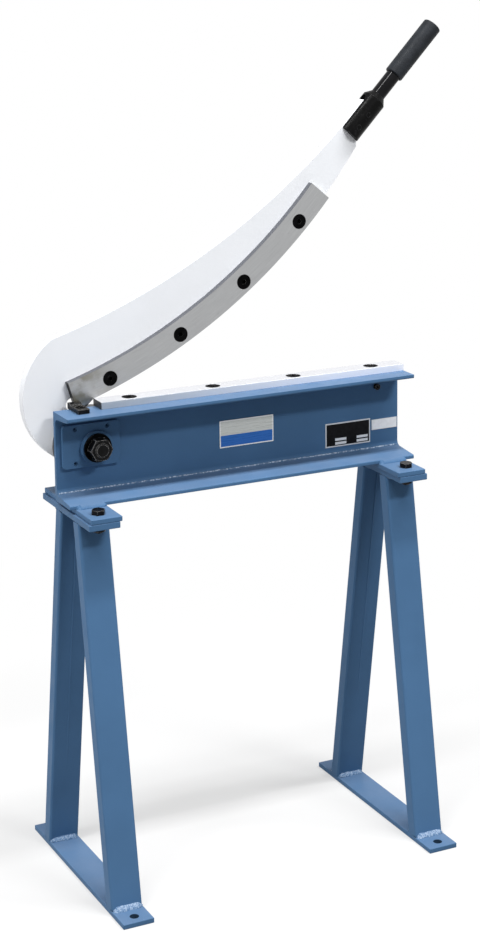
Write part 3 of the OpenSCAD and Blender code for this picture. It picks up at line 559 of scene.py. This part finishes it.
def beam_welds():
    chance = random.Random(23)
    verts, faces = [], []
    up = Vector((0, 0, 1))
    inset = 0.001
    bead_size = 0.0062
    beam_low, beam_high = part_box("beam")
    for side in ("left", "right"):
        low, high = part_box(f"{side}_foot_plate")
        for y, out in ((beam_low.y, Vector((0, -1, 0))), (beam_high.y, Vector((0, 1, 0)))):
            fillet_bead(verts, faces, Vector((low.x + inset, y, high.z)),
                        Vector((high.x - inset, y, high.z)), up, out, bead_size, chance)
    add_piece("beam_welds", verts, faces, "frame_paint")


def ridge(verts, faces, points, across, out, width, height):
    """Adds a low rounded ridge along points; height gives its crest at each of them."""
    profile = 5
    sunk = 0.0002
    first = len(verts)
    for point, crest in zip(points, height):
        for k in range(profile):
            turn = math.pi * k / (profile - 1)
            sideways = across * (width / 2 * math.cos(turn))
            verts.append(point + sideways + out * (crest * math.sin(turn) - sunk))
    for i in range(len(points) - 1):
        for k in range(profile - 1):
            a = first + i * profile + k
            faces.append((a, a + 1, a + 1 + profile, a + profile))


def leg_seams():
    """The seam of each leg's tube, down the middle of its inner face."""
    verts, faces = [], []
    count = 60
    margin = 0.008
    seam_width, seam_height = 0.003, 0.0009
    across = Vector((1, 0, 0))
    for low, high, sign, _, inner_foot, inner_top, _ in legs():
        top = Vector(((low.x + high.x) / 2, inner_top, high.z - margin))
        foot = Vector(((low.x + high.x) / 2, inner_foot, low.z + margin))
        out = Vector((0, -sign * math.cos(LEG_LEAN), -math.sin(LEG_LEAN)))
        points = [top + (foot - top) * (i / count) for i in range(count + 1)]
        ridge(verts, faces, points, across, out, seam_width, [seam_height] * len(points))
    add_piece("leg_seams", verts, faces, "frame_paint")


def root_seam():
    """The ragged line along the hollow between the beam's web and its lower flange."""
    chance = random.Random(31)
    verts, faces = [], []
    low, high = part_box("beam")
    step = 0.0015
    margin = 0.002
    wander = 0.0004
    least_height, most_height = 0.0008, 0.0016
    seam_width = 0.0024
    turn = math.radians(42)
    out = Vector((0, -math.sin(turn), math.cos(turn)))
    across = Vector((0, math.cos(turn), math.sin(turn)))
    count = round((high.x - low.x - 2 * margin) / step)
    points = []
    for i in range(count + 1):
        along = Vector((low.x + margin + i * step, 0, 0))
        sideways = across * chance.uniform(-wander, wander)
        points.append(ROOT_CENTRE + along - out * ROOT_RADIUS + sideways)
    height = [chance.uniform(least_height, most_height) for _ in points]
    ridge(verts, faces, points, across, out, seam_width, height)
    add_piece("root_seam", verts, faces, "frame_paint", SEAM_LOOK)


leg_welds()
beam_welds()
leg_seams()
root_seam()


# Stage: floor, light and camera

def make_floor():
    """A pale floor that keeps the shadow, fades to white away from the part and throws little light back."""
    reach = 30
    mesh = bpy.data.meshes.new("floor")
    corners = [(-reach, -reach, 0), (reach, -reach, 0), (reach, reach, 0), (-reach, reach, 0)]
    mesh.from_pydata(corners, [], [(0, 1, 2, 3)])
    floor = bpy.data.objects.new("floor", mesh)
    bpy.context.scene.collection.objects.link(floor)
    look = Look("floor", (0.66, 0.66, 0.66), 0.9, specular=0.0)
    thrown_back = look.node("ShaderNodeBsdfDiffuse")
    thrown_back.inputs["Color"].default_value = (0.27, 0.27, 0.27, 1)
    white = look.node("ShaderNodeEmission")
    white.inputs["Strength"].default_value = 1.0
    path = look.node("ShaderNodeLightPath")
    seen = look.math("MAXIMUM", path.outputs["Is Camera Ray"], path.outputs["Is Glossy Ray"])
    seen = look.math("MAXIMUM", seen, path.outputs["Is Transmission Ray"])
    near_reach, far_reach = 0.3, 1.5
    near_white = 0.55
    from_middle = look.vector("LENGTH", look.place, (0, 0, 0))
    far = look.ramp(from_middle, near_reach, far_reach, near_white, 1.0)
    shown = look.blend(far, look.shader.outputs[0], white.outputs[0])
    all_rays = look.blend(seen, thrown_back.outputs[0], shown)
    look.feed(look.tree.nodes["Material Output"].inputs[0], all_rays)
    mesh.materials.append(look.material)


def make_world():
    """A white room to the camera and to reflections, which lights the part only softly."""
    world = bpy.data.worlds.new("studio")
    bpy.context.scene.world = world
    world.use_nodes = True
    tree = world.node_tree
    background = tree.nodes["Background"]
    background.inputs["Color"].default_value = (1, 1, 1, 1)
    path = tree.nodes.new("ShaderNodeLightPath")
    seen = path.outputs["Is Camera Ray"]
    for name in ("Is Glossy Ray", "Is Transmission Ray"):
        either = tree.nodes.new("ShaderNodeMath")
        either.operation = "MAXIMUM"
        tree.links.new(seen, either.inputs[0])
        tree.links.new(path.outputs[name], either.inputs[1])
        seen = either.outputs[0]
    soft_light, white = 0.22, 1.0
    strength = tree.nodes.new("ShaderNodeMapRange")
    strength.inputs["To Min"].default_value = soft_light
    strength.inputs["To Max"].default_value = white
    tree.links.new(seen, strength.inputs["Value"])
    tree.links.new(strength.outputs["Result"], background.inputs["Strength"])


def add_lamp(name, place, width, height, watts, mirrored=True):
    """Adds an area lamp that looks at the part; mirrored is whether shiny surfaces show it."""
    target = Vector((0, 0, 0.7))
    data = bpy.data.lights.new(name, "AREA")
    data.shape = "RECTANGLE"
    data.size = width
    data.size_y = height
    data.energy = watts
    lamp = bpy.data.objects.new(name, data)
    lamp.location = place
    lamp.rotation_euler = (target - Vector(place)).to_track_quat("-Z", "Y").to_euler()
    lamp.visible_glossy = mirrored
    bpy.context.scene.collection.objects.link(lamp)


def make_camera():
    place = Vector((-1.3680, -2.81641, 1.52724))
    yaw, pitch, roll = (math.radians(degrees) for degrees in (26.02, -10.47, -0.70))
    image_height = 952
    focal_pixels = 2057.04
    principal_row = 266.6
    forward = Vector((math.sin(yaw) * math.cos(pitch), math.cos(yaw) * math.cos(pitch), math.sin(pitch)))
    level = Vector((math.cos(yaw), -math.sin(yaw), 0))
    upright = level.cross(forward)
    right = level * math.cos(roll) + upright * math.sin(roll)
    top = upright * math.cos(roll) - level * math.sin(roll)
    data = bpy.data.cameras.new("camera")
    data.sensor_fit = "VERTICAL"
    data.sensor_height = 36
    data.lens = focal_pixels / image_height * data.sensor_height
    data.shift_y = (principal_row - image_height / 2) / image_height
    camera = bpy.data.objects.new("camera", data)
    camera.matrix_world = Matrix((
        (right.x, top.x, -forward.x, place.x),
        (right.y, top.y, -forward.y, place.y),
        (right.z, top.z, -forward.z, place.z),
        (0, 0, 0, 1),
    ))
    bpy.context.scene.collection.objects.link(camera)
    bpy.context.scene.camera = camera


make_floor()
make_world()
add_lamp("key", (1.31, -3.16, 3.63), width=1.3, height=0.2, watts=74)
add_lamp("overhead", (0, -1.35, 6.3), width=7, height=0.55, watts=544)
add_lamp("rear_fill", (0.4, 5.0, 1.2), width=5, height=1, watts=100, mirrored=False)
add_lamp("left_fill", (-4.2, 0.2, 1.1), width=2, height=1, watts=60, mirrored=False)
make_camera()
bpy.context.scene.view_settings.view_transform = "Standard"
